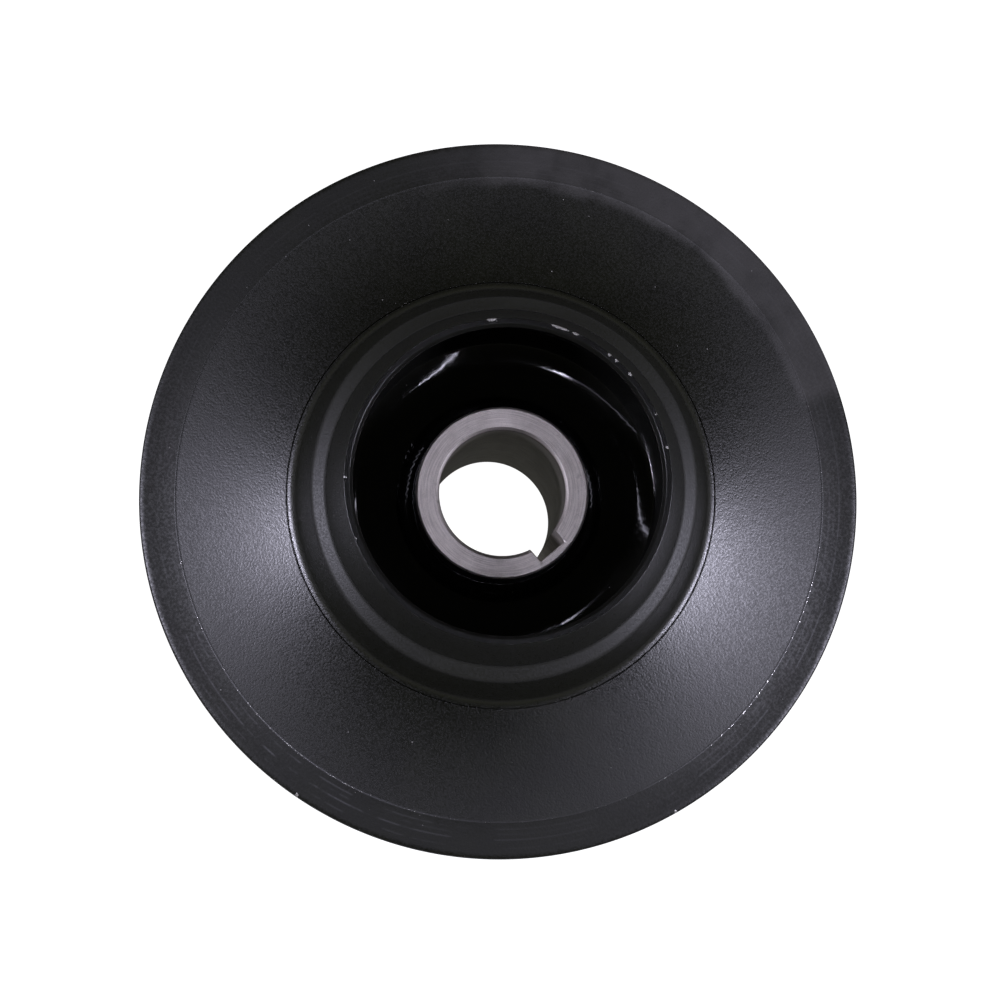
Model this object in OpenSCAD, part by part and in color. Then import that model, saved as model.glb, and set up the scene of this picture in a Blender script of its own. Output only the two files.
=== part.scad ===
// Keyed flywheel: a shallow conical disc on a stepped neck, welded round a plain hub tube.
// The origin is the centre of the hub's rear end. +Z runs along the bore towards the neck's
// open lip, and +X passes through the middle of the keyway.
// Each sheet-metal piece is turned from the region under its face, less the region under
// its back, so that both faces of a sheet follow the same lines.

/* [Hub] */
// Diameter of the shaft bore
bore_d = 25.4; // [19:0.05:28.6]
// Outside diameter of the hub tube
hub_d = 34.925; // [34:0.025:44]
// Length of the hub tube
hub_len = 63.5; // [53:0.5:80]
// Width of the keyway
keyway_w = 6.35; // [4.75:0.05:8]
// Depth of the keyway beyond the bore's wall, at its middle
keyway_h = 2.9; // [1.5:0.1:3.5]
// Chamfer on the bore's two mouths
bore_chamfer = 0.7; // [0.2:0.1:1]
// Chamfer on the hub's two outer edges
hub_chamfer = 0.4; // [0.1:0.1:0.8]

/* [Disc] */
// Outside diameter of the disc
disc_d = 146.05; // [124:0.05:190]
// Height of the disc's rim, at its front edge, above the hub's rear end
rim_z = 48.8; // [40:0.1:60]
// Slope of the disc's main cone in degrees
cone_slope = 17; // [12:0.5:22]
// Width of the steeper band round the rim, measured along the radius
band_w = 7.1; // [4:0.1:12]
// Slope of that band in degrees
band_slope = 22; // [17:0.5:30]
// Thickness of the sheet that the disc and the collar are pressed from
sheet_t = 2.2; // [1.5:0.1:3]
// Rounding of the disc's cut edge
rim_round = 0.5; // [0.2:0.1:0.7]
// Width of the hairline joint between the disc and the collar
seam_gap = 0.2; // [0.1:0.05:0.4]

/* [Neck] */
// Outside diameter of the neck at its lip
lip_d = 65.4; // [54.5:0.1:80]
// Height of the lip above the rim
lip_h = 38.7; // [32:0.1:47]
// Draft of the neck's walls in degrees, away from the axis
draft = 13.5; // [8:0.5:16]
// Height of the shoulder's outer edge above the rim
shoulder_h = 23; // [20:0.5:28]
// Slope of the shoulder in degrees
shoulder_slope = 34; // [10:1:45]
// Rounding of the shoulder's outer edge
shoulder_round = 0.8; // [0.2:0.1:1]
// Radius of the fillet between the disc's cone and the collar's wall
foot_fillet = 2.5; // [1.5:0.1:4]
// Width of the collar's plain foot outside that fillet
foot_land = 0.25; // [0.1:0.05:3]

/* [Cup] */
// Thickness of the cup's sheet
cup_t = 2; // [1.2:0.1:2.6]
// Height of the cup's floor, on its front, above the rim
floor_h = 1; // [-4:0.5:4]
// Radius of the bend between the cup's floor and its wall, on the inside
bend_r = 10; // [6:0.5:14]
// Width of the lip's flat top
lip_land = 1.1; // [0.8:0.1:1.2]
// Clearance between the hub and the hole in the cup's floor
hub_gap = 0.1; // [0.05:0.05:0.3]

/* [Welds] */
// Leg of the fillet weld round the hub in front of the cup's floor
front_leg = 3.5; // [2:0.5:5]
// Leg of the fillet weld round the hub behind the cup's floor
rear_leg = 5; // [3:0.5:6]
// Half the width of the ring weld over the back of the hairline joint
seam_weld_w = 2; // [1.5:0.1:3]
// Height of that ring weld
seam_weld_h = 1.2; // [0.8:0.1:2]
// Radius of the stitch welds between the cup and the collar
stitch_r = 2.6; // [2:0.1:3]
// Number of those stitch welds
stitch_count = 6; // [3:1:8]
// Length of each stitch weld in degrees
stitch_span = 28; // [15:1:40]

/* [Hidden] */
$fn = 144;

coat = "#26262a";
bare = "#b4b2ad";
hub_r = hub_d / 2;
bore_r = bore_d / 2;
disc_r = disc_d / 2;
lip_r = lip_d / 2;
lip_z = rim_z + lip_h;
floor_z = rim_z + floor_h;
shoulder_z = rim_z + shoulder_h;
band_r = disc_r - band_w;
band_z = rim_z + band_w * tan(band_slope);
// How far the tools that cut a shape run past it
past = 1;
// How far the shoulder's line is carried inward: past the sheet's back at any of its slopes
shoulder_run = 4 * sheet_t;
// A fillet weld's face is an arc about a point this share of its leg behind the corner
weld_crown = 0.6;
// Share of its radius by which a stitch weld's centre stands off the fold that it fills
stitch_offset = 1 / 3;

// Radius of the neck's wall at height z, measured depth under the cup's outer face
function wall_r(z, depth) = lip_r + (lip_z - z) * tan(draft) - depth / cos(draft);
// Height of the disc's cone at radius r, measured depth under its front face
function cone_z(r, depth) = band_z + (band_r - r) * tan(cone_slope) - depth / cos(cone_slope);
// Height of the rim band at radius r, measured depth under its front face
function band_line_z(r, depth) = rim_z + (disc_r - r) * tan(band_slope) - depth / cos(band_slope);
// Radius where the cone and the band meet at that depth
function ridge_r(depth) =
    band_r + depth * (1 / cos(band_slope) - 1 / cos(cone_slope))
    / (tan(cone_slope) - tan(band_slope));
// Radius and height where the collar's wall meets the cone at that depth
function foot_corner_r(depth) =
    (wall_r(cone_z(0, depth), depth - sheet_t)) / (1 - tan(cone_slope) * tan(draft));
function foot_corner(depth) = [foot_corner_r(depth), cone_z(foot_corner_r(depth), depth)];

function unit(v) = v / norm(v);
// For a circle tangent to both sides of a corner, unit vectors a and b: how far along the
// sides it touches them, and its centre
function touch(a, b, radius) = radius / tan(acos(a * b) / 2);
function centre(corner, a, b, radius) = corner + unit(a + b) * radius / sin(acos(a * b) / 2);

// Unit vectors from the foot's corner up the wall and down the cone
up_wall = [-sin(draft), cos(draft)];
down_cone = [cos(cone_slope), -sin(cone_slope)];
seam_r = foot_corner_r(0) + touch(up_wall, down_cone, foot_fillet) * cos(cone_slope) + foot_land;
// Centre of the bend between the cup's floor and wall, shared by both faces of the sheet
bend_z = floor_z + bend_r;
bend_c = [wall_r(bend_z, 0) - (bend_r + cup_t) / cos(draft), bend_z];

// What a rounding takes off a corner, run on past it so that the cut is clean
module corner_cut(corner, a, b, radius) {
    reach = touch(a, b, radius);
    middle = centre(corner, a, b, radius);
    difference() {
        polygon([corner - unit(a + b) * reach, corner + a * reach, middle, corner + b * reach]);
        translate(middle) circle(r = radius);
    }
}

// Everything under the front skin of collar and disc, at a depth below it
module under_skin(depth) {
    corner = foot_corner(depth);
    radius = foot_fillet + depth;
    reach = touch(up_wall, down_cone, radius);
    middle = centre(corner, up_wall, down_cone, radius);
    ridge = ridge_r(depth);
    outer = disc_r + past;
    difference() {
        polygon([
            [0, 0],
            [outer, 0],
            [outer, band_line_z(outer, depth)],
            [ridge, cone_z(ridge, depth)],
            corner + down_cone * reach,
            middle,
            corner + up_wall * reach,
            [wall_r(lip_z, depth - sheet_t), lip_z],
            [0, lip_z]
        ]);
        translate(middle) circle(r = radius);
    }
}

// Everything inside the cup's outer face, at a depth below it
module under_cup(depth) {
    radius = bend_r + cup_t - depth;
    tangent = bend_c + radius * [cos(draft), sin(draft)];
    union() {
        polygon([
            [0, bend_z - radius],
            [bend_c[0], bend_z - radius],
            bend_c,
            tangent,
            [wall_r(lip_z, depth), lip_z],
            [0, lip_z]
        ]);
        translate(bend_c) circle(r = radius);
    }
}

// A convex fillet-weld section in the corner above the point, to the right of it
module fillet_bead(leg) {
    sink = leg * weld_crown;
    intersection() {
        square(leg);
        translate([-sink, -sink]) circle(r = norm([leg + sink, sink]));
    }
}

// A ring turned from a section drawn in the first quadrant
module turned(from = 0, span = 360) {
    rotate([0, 0, from]) rotate_extrude(angle = span) children();
}

module hub_tube() {
    color(bare) difference() {
        turned() polygon([
            [bore_r + bore_chamfer, 0],
            [hub_r - hub_chamfer, 0],
            [hub_r, hub_chamfer],
            [hub_r, hub_len - hub_chamfer],
            [hub_r - hub_chamfer, hub_len],
            [bore_r + bore_chamfer, hub_len],
            [bore_r, hub_len - bore_chamfer],
            [bore_r, bore_chamfer]
        ]);
        translate([0, -keyway_w / 2, -past])
            cube([bore_r + keyway_h, keyway_w, hub_len + 2 * past]);
    }
}

module hub_cup() {
    inner_lip_r = wall_r(lip_z, cup_t);
    chamfer_w = lip_r - lip_land - inner_lip_r;
    color(coat) turned() difference() {
        under_cup(0);
        under_cup(cup_t);
        square([hub_r + hub_gap, lip_z]);
        polygon([
            [inner_lip_r - past, lip_z + past],
            [lip_r - lip_land + past, lip_z + past],
            [inner_lip_r - past, lip_z - chamfer_w - past]
        ]);
    }
}

module neck_collar() {
    top = [wall_r(shoulder_z, -sheet_t), shoulder_z];
    inward = [-cos(shoulder_slope), sin(shoulder_slope)];
    color(coat) turned() difference() {
        under_skin(0);
        under_skin(sheet_t);
        polygon([
            top - past * inward,
            top + shoulder_run * inward,
            [0, lip_z + past],
            [disc_r, lip_z + past],
            [disc_r, shoulder_z - past * inward[1]]
        ]);
        corner_cut(top, inward, -up_wall, shoulder_round);
        translate([seam_r - seam_gap, 0]) square([disc_r, lip_z]);
    }
}

module flange_disc() {
    color(coat) turned() difference() {
        under_skin(0);
        under_skin(sheet_t);
        square([seam_r, lip_z]);
        translate([disc_r, 0]) square([2 * past, lip_z]);
        corner_cut([disc_r, rim_z], [0, -1], [-cos(band_slope), sin(band_slope)], rim_round);
    }
}

module front_hub_weld() {
    color(coat) turned() translate([hub_r, floor_z]) fillet_bead(front_leg);
}

module rear_hub_weld() {
    color(coat) turned()
        translate([hub_r, floor_z - cup_t]) mirror([0, 1]) fillet_bead(rear_leg);
}

// The crowned section over the back of the hairline joint
module seam_bead() {
    radius = (pow(seam_weld_w, 2) + pow(seam_weld_h, 2)) / (2 * seam_weld_h);
    mid_r = seam_r - seam_gap / 2;
    normal = [sin(cone_slope), cos(cone_slope)];
    intersection() {
        under_skin(sheet_t);
        translate([mid_r, cone_z(mid_r, sheet_t)] + (radius - seam_weld_h) * normal)
            circle(r = radius);
    }
}

module disc_seam_weld() {
    color(coat) turned() seam_bead();
}

module collar_stitch_welds() {
    corner = foot_corner(sheet_t);
    offset_by = stitch_r * stitch_offset;
    root = [bend_c[0] + bend_r + cup_t + offset_by, corner[1] + offset_by];
    color(coat) for (i = [0 : stitch_count - 1])
        turned(360 / stitch_count * (i + 0.5) - stitch_span / 2, stitch_span) difference() {
            intersection() {
                under_skin(sheet_t);
                translate(root) circle(r = stitch_r);
            }
            under_cup(0);
            seam_bead();
        }
}

hub_tube();
hub_cup();
neck_collar();
flange_disc();
front_hub_weld();
rear_hub_weld();
disc_seam_weld();
collar_stitch_welds();
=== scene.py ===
"""Keyed flywheel: a pressed disc and a stepped neck, welded round a turned hub tube.

Every sheet piece is turned about the bore's axis from a rounded section, and the weld beads are
swept round it with their ripples. Drawing sizes are in millimetres and degrees, and the meshes
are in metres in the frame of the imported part: +Z along the bore, +X through the keyway.
"""

import math

import bmesh
import bpy
from mathutils import Matrix, Vector, noise


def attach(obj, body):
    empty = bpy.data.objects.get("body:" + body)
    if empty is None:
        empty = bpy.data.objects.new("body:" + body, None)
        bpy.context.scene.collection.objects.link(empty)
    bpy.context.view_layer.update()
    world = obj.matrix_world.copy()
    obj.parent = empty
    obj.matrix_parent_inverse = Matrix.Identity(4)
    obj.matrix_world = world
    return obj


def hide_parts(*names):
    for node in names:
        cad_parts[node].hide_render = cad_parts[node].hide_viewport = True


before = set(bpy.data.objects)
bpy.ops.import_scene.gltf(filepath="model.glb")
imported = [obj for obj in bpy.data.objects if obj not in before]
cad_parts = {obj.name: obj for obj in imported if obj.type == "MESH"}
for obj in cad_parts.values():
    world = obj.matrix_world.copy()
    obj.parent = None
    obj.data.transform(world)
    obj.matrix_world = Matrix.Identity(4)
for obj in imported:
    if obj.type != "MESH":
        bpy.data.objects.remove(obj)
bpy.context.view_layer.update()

MM = 0.001

# Sizes on the drawing
BORE_R = 12.7
HUB_R = 17.4625
HUB_LEN = 63.5
KEYWAY_W = 6.35
KEYWAY_FLOOR = 15.6
BORE_CHAMFER = 0.7
HUB_CHAMFER = 0.4
DISC_R = 73.025
RIM_Z = 48.8
CONE_SLOPE = 17
BAND_W = 7.1
BAND_SLOPE = 22
SHEET_T = 2.2
SEAM_GAP = 0.2
LIP_R = 32.7
LIP_Z = RIM_Z + 38.7
DRAFT = 13.5
SHOULDER_Z = RIM_Z + 23
SHOULDER_SLOPE = 34
FOOT_FILLET = 2.5
FOOT_LAND = 0.25
CUP_T = 2
FLOOR_Z = RIM_Z + 1
BEND_R = 10
LIP_LAND = 1.1
HUB_GAP = 0.1
FRONT_LEG = 3.5
REAR_LEG = 5
SEAM_WELD_W = 2
SEAM_WELD_H = 1.2
STITCH_R = 2.6
STITCH_COUNT = 6
STITCH_SPAN = 28
WELD_CROWN = 0.6

# How far the pressed cone bows below a straight line at its middle
DISC_BOW = 0.3
# Height of the fine raised line that the press left between cone and band
PRESS_LINE = 0.05

BAND_R = DISC_R - BAND_W


def sin(degrees):
    return math.sin(math.radians(degrees))


def cos(degrees):
    return math.cos(math.radians(degrees))


def tan(degrees):
    return math.tan(math.radians(degrees))


BAND_Z = RIM_Z + BAND_W * tan(BAND_SLOPE)


# ---------------------------------------------------------------- the lines that sheets follow

def wall_r(z, depth=0.0):
    """Radius of the neck's wall at a height, measured under the cup's outer face."""
    return LIP_R + (LIP_Z - z) * tan(DRAFT) - depth / cos(DRAFT)


def cone_z(r, depth=0.0):
    """Height of the disc's cone at a radius, measured under its front face."""
    return BAND_Z + (BAND_R - r) * tan(CONE_SLOPE) - depth / cos(CONE_SLOPE)


def band_z(r, depth=0.0):
    """Height of the rim band at a radius, measured under its front face."""
    return RIM_Z + (DISC_R - r) * tan(BAND_SLOPE) - depth / cos(BAND_SLOPE)


def ridge_r(depth):
    """Radius where cone and band meet at a depth."""
    slopes = 1 / cos(BAND_SLOPE) - 1 / cos(CONE_SLOPE)
    return BAND_R + depth * slopes / (tan(CONE_SLOPE) - tan(BAND_SLOPE))


def foot_corner(depth):
    """Where the collar's wall meets the cone at a depth."""
    r = wall_r(cone_z(0, depth), depth - SHEET_T) / (1 - tan(CONE_SLOPE) * tan(DRAFT))
    return Vector((r, cone_z(r, depth)))


UP_WALL = Vector((-sin(DRAFT), cos(DRAFT)))
DOWN_CONE = Vector((cos(CONE_SLOPE), -sin(CONE_SLOPE)))
HALF_CORNER = UP_WALL.angle(DOWN_CONE) / 2
SEAM_R = (foot_corner(0)[0] + FOOT_FILLET / math.tan(HALF_CORNER) * cos(CONE_SLOPE)
          + FOOT_LAND)
BEND_CENTRE = Vector((wall_r(FLOOR_Z + BEND_R) - (BEND_R + CUP_T) / cos(DRAFT),
                      FLOOR_Z + BEND_R))


def in_fold(r, z, sink):
    """Whether a point lies behind the collar's back and outside the cup, or just inside them."""
    depth = SHEET_T - sink
    corner = foot_corner(depth)
    radius = FOOT_FILLET + depth
    middle = corner + (UP_WALL + DOWN_CONE).normalized() * radius / math.sin(HALF_CORNER)
    behind = r < wall_r(z, depth - SHEET_T) or z < cone_z(r, depth)
    if not behind:
        toward = Vector((r, z)) - corner
        reach = radius / math.tan(HALF_CORNER)
        near = toward.dot(UP_WALL) < reach and toward.dot(DOWN_CONE) < reach
        behind = near and (Vector((r, z)) - middle).length > radius
    if z > BEND_CENTRE[1]:
        in_cup = r < wall_r(z, sink)
    else:
        in_cup = (Vector((r, z)) - BEND_CENTRE).length < BEND_R + CUP_T - sink
    return behind and not in_cup


# ---------------------------------------------------------------- mesh making

# Steps once round the axis
TURNS = 576
# Longest step along a rounding, in millimetres and in radians, and the fewest steps
ARC_STEP = 0.45
ARC_TURN = 0.3
ARC_LEAST = 4
# A convex rounding below this size wears first
WORN_ROUNDING = 0.6
# Short step beside each rounding, so that the flat beside it shades flat
GUARD = 0.12


def held(value, most=1.0):
    """A value kept between 0 and most."""
    return min(most, max(0.0, value))


def rounded(corners, spacing):
    """A closed section through corners of (radius, height, rounding), as (radius, height,
    edge) points, where edge is 1 on the small roundings of its outer edges."""
    count = len(corners)
    area = sum(corners[i - 1][0] * corners[i][1] - corners[i][0] * corners[i - 1][1]
               for i in range(count))
    arcs = []
    for i, (r, z, rounding) in enumerate(corners):
        here = Vector((r, z))
        back = (Vector(corners[i - 1][:2]) - here).normalized()
        ahead = (Vector(corners[(i + 1) % count][:2]) - here).normalized()
        half = back.angle(ahead) / 2
        middle = here + (back + ahead).normalized() * rounding / math.sin(half)
        start = here + back * rounding / math.tan(half) - middle
        turn = math.pi - 2 * half
        side = 1 if start.cross(here + ahead - middle) > 0 else -1
        convex = (back.cross(ahead) < 0) == (area > 0)
        steps = max(ARC_LEAST, math.ceil(turn * rounding / ARC_STEP),
                    math.ceil(turn / ARC_TURN))
        edge = 1.0 if convex and rounding < WORN_ROUNDING else 0.0
        arc = []
        for k in range(steps + 1):
            a = side * turn * k / steps
            arc.append((middle[0] + start[0] * math.cos(a) - start[1] * math.sin(a),
                        middle[1] + start[0] * math.sin(a) + start[1] * math.cos(a), edge))
        arcs.append(arc)
    points = []
    for i, arc in enumerate(arcs):
        points += arc
        here = Vector(arc[-1][:2])
        ahead = Vector(arcs[(i + 1) % count][0][:2])
        gap = (ahead - here).length
        guard = min(GUARD, gap / 4)
        inner = gap - 2 * guard
        pieces = max(1, math.ceil(inner / spacing))
        for k in range(pieces + 1):
            at = here + (ahead - here) * (guard + inner * k / pieces) / gap
            points.append((at[0], at[1], 0.0))
    return points


def finish_mesh(name, mesh_data, materials):
    """A smooth-shaded object made of that mesh, with those materials."""
    mesh_data.normal_update()
    bmesh.ops.recalc_face_normals(mesh_data, faces=mesh_data.faces)
    mesh = bpy.data.meshes.new(name)
    mesh_data.to_mesh(mesh)
    mesh_data.free()
    mesh.shade_smooth()
    for material in materials:
        mesh.materials.append(material)
    piece = bpy.data.objects.new(name, mesh)
    bpy.context.scene.collection.objects.link(piece)
    return piece


def turned(name, section, materials, masks=None, dent=None, material_of=None):
    """A section turned once round the axis. masks gives each vertex named values from its
    (radius, height, angle), and dent gives the small move that wear and forming left."""
    work = bmesh.new()
    masks = masks or {}
    layers = {key: work.verts.layers.float.new(key) for key in ["edge", *masks]}
    rings = []
    for i in range(TURNS):
        angle = 360 * i / TURNS
        ring = []
        for r, z, edge in section:
            dr, dz = dent(r, z, angle) if dent else (0.0, 0.0)
            vert = work.verts.new(((r + dr) * cos(angle) * MM, (r + dr) * sin(angle) * MM,
                                   (z + dz) * MM))
            vert[layers["edge"]] = edge
            for key, value in masks.items():
                vert[layers[key]] = value(r, z, angle)
            ring.append(vert)
        rings.append(ring)
    count = len(section)
    for i in range(TURNS):
        one, two = rings[i], rings[(i + 1) % TURNS]
        for k in range(count):
            m = (k + 1) % count
            face = work.faces.new((one[k], one[m], two[m], two[k]))
            if material_of:
                face.material_index = material_of((section[k][0] + section[m][0]) / 2,
                                                  (section[k][1] + section[m][1]) / 2)
    return finish_mesh(name, work, materials)


def swept_bead(name, sections, materials, closed):
    """Weld sections joined in order round the axis. Each is (angle, points), its points
    (radius, height)."""
    work = bmesh.new()
    rings = [[work.verts.new((r * cos(angle) * MM, r * sin(angle) * MM, z * MM))
              for r, z in points] for angle, points in sections]
    joins = len(rings) if closed else len(rings) - 1
    for i in range(joins):
        one, two = rings[i], rings[(i + 1) % len(rings)]
        for k in range(len(one)):
            m = (k + 1) % len(one)
            work.faces.new((one[k], one[m], two[m], two[k]))
    if not closed:
        work.faces.new(rings[0])
        work.faces.new(list(reversed(rings[-1])))
    return finish_mesh(name, work, materials)


# A weld puddle: how far its tail curves back, how much its place wanders and how often, where
# along its length it peaks, how steeply it falls after that, and how much lower its sides are
PUDDLE_CURVE = 0.45
PUDDLE_WANDER = 0.35
PUDDLE_WANDER_RATE = 5
PUDDLE_PEAK = 0.8
PUDDLE_FALL = 4
PUDDLE_SIDES = 0.5


def ripple(angle, across, pitch, seed):
    """Height from 0 to 1 of a weld's overlapping puddles, at an angle round the axis and a
    place from -1 to 1 across the bead."""
    wander = noise.noise(Vector((cos(angle) * PUDDLE_WANDER_RATE,
                                 sin(angle) * PUDDLE_WANDER_RATE, seed)))
    phase = angle / pitch + PUDDLE_CURVE * across * across + PUDDLE_WANDER * wander
    rise = phase - math.floor(phase)
    height = rise if rise < PUDDLE_PEAK else (1 - rise) * PUDDLE_FALL
    return height * (1 - PUDDLE_SIDES * across * across)


# ---------------------------------------------------------------- shader groups

class Graph:
    """Short calls for placing nodes in a material or a group and joining them up."""

    def __init__(self, tree):
        self.tree = tree

    def node(self, kind, inputs=None, **settings):
        made = self.tree.nodes.new(kind)
        for key, value in settings.items():
            setattr(made, key, value)
        for key, value in (inputs or {}).items():
            self.feed(made.inputs[key], value)
        return made

    def feed(self, socket, value):
        if isinstance(value, bpy.types.NodeSocket):
            self.tree.links.new(value, socket)
        else:
            socket.default_value = value

    def math(self, operation, *values, clamp=False):
        made = self.node("ShaderNodeMath", operation=operation, use_clamp=clamp)
        for i, value in enumerate(values):
            self.feed(made.inputs[i], value)
        return made.outputs[0]

    def vector(self, operation, first, second):
        made = self.node("ShaderNodeVectorMath", operation=operation)
        self.feed(made.inputs[0], first)
        key = "Scale" if operation == "SCALE" else 1
        self.feed(made.inputs[key], second)
        return made.outputs[0]

    def spread(self, value, low, high, to_low=0.0, to_high=1.0):
        made = self.node("ShaderNodeMapRange", interpolation_type="SMOOTHSTEP")
        for i, v in enumerate((value, low, high, to_low, to_high)):
            self.feed(made.inputs[i], v)
        return made.outputs[0]

    def mix(self, factor, first, second):
        made = self.node("ShaderNodeMix", data_type="RGBA")
        self.feed(made.inputs["Factor"], factor)
        self.feed(made.inputs["A"], first)
        self.feed(made.inputs["B"], second)
        return made.outputs["Result"]

    def between(self, factor, first, second):
        made = self.node("ShaderNodeMix", data_type="FLOAT")
        for i, value in ((0, factor), (2, first), (3, second)):
            self.feed(made.inputs[i], value)
        return made.outputs[0]

    def noise(self, vector, scale, detail, rough):
        made = self.node("ShaderNodeTexNoise", {"Vector": vector, "Scale": scale,
                                                "Detail": detail, "Roughness": rough})
        return made.outputs["Fac"]

    def group(self, tree, **inputs):
        made = self.node("ShaderNodeGroup", node_tree=tree)
        for key, value in inputs.items():
            self.feed(made.inputs[key.replace("_", " ")], value)
        return made.outputs

    def attribute(self, name):
        return self.node("ShaderNodeAttribute", attribute_name=name).outputs["Fac"]


def new_group(name, inputs, outputs):
    """A shader group with float or vector sockets, its graph, and its two end nodes."""
    tree = bpy.data.node_groups.new(name, "ShaderNodeTree")
    for key, start in inputs.items():
        kind = "NodeSocketFloat" if isinstance(start, (int, float)) else "NodeSocketVector"
        socket = tree.interface.new_socket(key, in_out="INPUT", socket_type=kind)
        if kind == "NodeSocketFloat":
            socket.default_value = start
    for key, kind in outputs.items():
        tree.interface.new_socket(key, in_out="OUTPUT", socket_type=kind)
    graph = Graph(tree)
    return tree, graph, graph.node("NodeGroupInput").outputs, graph.node("NodeGroupOutput")


FLOAT, VECTOR = "NodeSocketFloat", "NodeSocketVector"


def make_place_group():
    """Where a point is on the part: millimetres in its frame, its radius, and a vector that
    runs slowly round the axis and quickly across the turning."""
    tree, g, _, out = new_group("place on the part", {}, {
        "Millimetres": VECTOR, "Radius": FLOAT, "Round": VECTOR})
    at = g.vector("SCALE", g.node("ShaderNodeTexCoord").outputs["Object"], 1 / MM)
    parts = g.node("ShaderNodeSeparateXYZ", {"Vector": at}).outputs
    flat = g.node("ShaderNodeCombineXYZ", {"X": parts["X"], "Y": parts["Y"]}).outputs[0]
    radius = g.node("ShaderNodeVectorMath", {0: flat}, operation="LENGTH").outputs["Value"]
    turn = g.node("ShaderNodeVectorMath", {0: flat}, operation="NORMALIZE").outputs[0]
    across = g.math("ADD", radius, parts["Z"])
    round_parts = g.node("ShaderNodeSeparateXYZ", {"Vector": turn}).outputs
    joined = g.node("ShaderNodeCombineXYZ", {"X": round_parts["X"], "Y": round_parts["Y"],
                                             "Z": across}).outputs[0]
    g.feed(out.inputs["Millimetres"], at)
    g.feed(out.inputs["Radius"], radius)
    g.feed(out.inputs["Round"], joined)
    return tree


def make_tool_line_group():
    """Fine lines left round the axis by a tool, broken up along their length."""
    tree, g, given, out = new_group("tool lines", {
        "Round": None, "Lines per mm": 3.0, "Breaks": 3.0}, {"Height": FLOAT})
    parts = g.node("ShaderNodeSeparateXYZ", {"Vector": given["Round"]}).outputs
    stretched = g.node("ShaderNodeCombineXYZ", {
        "X": g.math("MULTIPLY", parts["X"], given["Breaks"]),
        "Y": g.math("MULTIPLY", parts["Y"], given["Breaks"]),
        "Z": g.math("MULTIPLY", parts["Z"], given["Lines per mm"])}).outputs[0]
    g.feed(out.inputs["Height"], g.noise(stretched, scale=1.0, detail=2.0, rough=0.6))
    return tree


def make_pebbling_group():
    """The fine pebbling of a sprayed coat and the slower flow under it."""
    tree, g, given, out = new_group("coat pebbling", {
        "Millimetres": None, "Grain mm": 0.5, "Flow": 0.4}, {"Height": FLOAT, "Grain": FLOAT})
    flow_waves_per_grain = 0.22
    grain_scale = g.math("DIVIDE", 1.0, given["Grain mm"])
    flow_scale = g.math("DIVIDE", flow_waves_per_grain, given["Grain mm"])
    grain = g.noise(given["Millimetres"], grain_scale, detail=1.5, rough=0.5)
    flow = g.noise(given["Millimetres"], flow_scale, detail=1.0, rough=0.5)
    height = g.math("ADD", grain, g.math("MULTIPLY", flow, given["Flow"]))
    g.feed(out.inputs["Height"], height)
    g.feed(out.inputs["Grain"], grain)
    return tree


def make_dust_group():
    """Settled dust: scattered specks, and the share of them that shows."""
    tree, g, given, out = new_group("dust specks", {
        "Millimetres": None, "Spacing mm": 2.0, "Speck": 0.09, "Share": 0.25},
        {"Mask": FLOAT})
    solid_core = 0.4
    cells = g.node("ShaderNodeTexVoronoi", {
        "Vector": given["Millimetres"],
        "Scale": g.math("DIVIDE", 1.0, given["Spacing mm"]), "Randomness": 1.0})
    pick = g.node("ShaderNodeSeparateColor", {"Color": cells.outputs["Color"]}).outputs
    size = g.math("MULTIPLY", given["Speck"], pick["Green"])
    near = g.spread(cells.outputs["Distance"], size, g.math("MULTIPLY", size, solid_core))
    shown = g.math("LESS_THAN", pick["Red"], given["Share"])
    g.feed(out.inputs["Mask"], g.math("MULTIPLY", near, shown))
    return tree


def make_wear_group():
    """Bare metal where the coat has gone: ragged patches where the chip value is high, and
    thin broken lines along the small rounded edges."""
    tree, g, given, out = new_group("coat wear", {
        "Millimetres": None, "Chip": 0.0, "Edge": 0.0, "Edge wear": 0.3}, {"Bare": FLOAT})
    rough = g.noise(given["Millimetres"], scale=2.6, detail=3.0, rough=0.65)
    patchy = g.noise(given["Millimetres"], scale=0.16, detail=2.0, rough=0.5)
    # A chip's outline: weights of the value given and of the noise, less a constant, and
    # the narrow range over which coat turns to metal
    value_weight, noise_weight, less = 0.8, 1.2, 0.62
    coat_ends, metal_starts = 0.46, 0.54
    ragged = g.math("SUBTRACT", g.math("ADD", g.math("MULTIPLY", given["Chip"], value_weight),
                                       g.math("MULTIPLY", rough, noise_weight)), less)
    chips = g.spread(ragged, coat_ends, metal_starts)
    # An edge is bare where both noises are high, above a level that more wear lowers
    unworn_level, fade = 1.45, 0.06
    bite = g.math("MULTIPLY", given["Edge"], g.math("ADD", patchy, rough))
    level = g.math("SUBTRACT", unworn_level, given["Edge wear"])
    edges = g.spread(bite, level, g.math("ADD", level, fade))
    g.feed(out.inputs["Bare"], g.math("MAXIMUM", chips, edges))
    return tree


# Radius, half width, height in micrometres, and how much of the turn is broken away
PRESS_RINGS = ((65.85, 0.14, 20.0, 0.36), (67.2, 0.16, 9.0, 0.48), (68.2, 0.2, 5.0, 0.5),
               (69.3, 0.16, 13.0, 0.46), (71.0, 0.15, 6.0, 0.52))
# Share of the lighter ring colour, partly wear and partly a painted highlight, for each
# micrometre of a press ring's height
RING_WEAR_AND_GLINT_PER_UM = 0.04


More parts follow.
